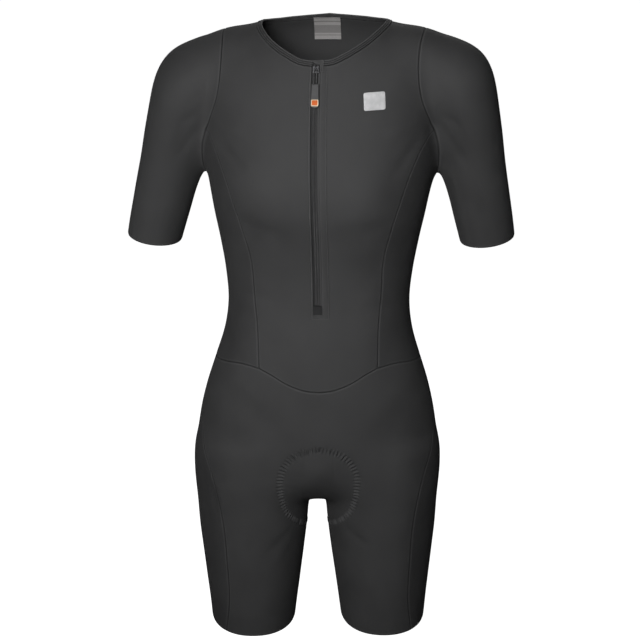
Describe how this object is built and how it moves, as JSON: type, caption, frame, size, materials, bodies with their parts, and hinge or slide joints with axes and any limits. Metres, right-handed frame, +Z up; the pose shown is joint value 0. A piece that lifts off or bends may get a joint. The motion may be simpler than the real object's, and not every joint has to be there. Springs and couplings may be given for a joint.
{
  "type": "triathlon suit",
  "caption": "Short-sleeved one-piece sports suit with shorts, princess seams and a front zip, filled out as worn with no wearer.",
  "frame": {"origin": "middle of the neck opening, level with the neck ends of the shoulder seams, where the wearer holds the suit", "axes": "+Z up, -Y towards the front of the suit, +X towards the wearer's left side"},
  "size_m": [0.513, 0.2326, 0.8194],
  "materials": {
    "cloth": "matt charcoal-black stretch knit",
    "side_cloth": "matt stretch knit, a little darker",
    "binding": "folded stretch binding with stitched grooves",
    "zip_black": "black coated zip tape and moulded teeth",
    "zip_metal": "small cast slider, worn bright",
    "cord": "thin black braided cord",
    "rubber": "moulded black grip, satin",
    "label": "light grey woven label, plain"
  },
  "bodies": {
    "suit": {"front": "cloth", "back": "cloth", "side_left": "side_cloth", "side_right": "side_cloth", "sleeve_left": "cloth", "sleeve_right": "cloth", "shorts_front": "cloth", "shorts_back": "cloth", "leg_side_left": "side_cloth", "leg_side_right": "side_cloth", "neck_binding": "binding", "zip_tape_left": "zip_black", "zip_tape_right": "zip_black", "zip_stop": "zip_black", "zip_guard": "zip_black", "zip_slider": "zip_metal", "neck_label": "label"},
    "zip_pull": {"pull_cord": "cord", "pull_grip": "rubber"}
  },
  "joints": [
    {"name": "pull_swing", "type": "hinge", "parent": "suit", "child": "zip_pull", "pos_m": [-0.00316, -0.07892, -0.06058], "axis": [-0.9921, 0.1247, -0.0117], "range_deg": [0, 150]}
  ]
}
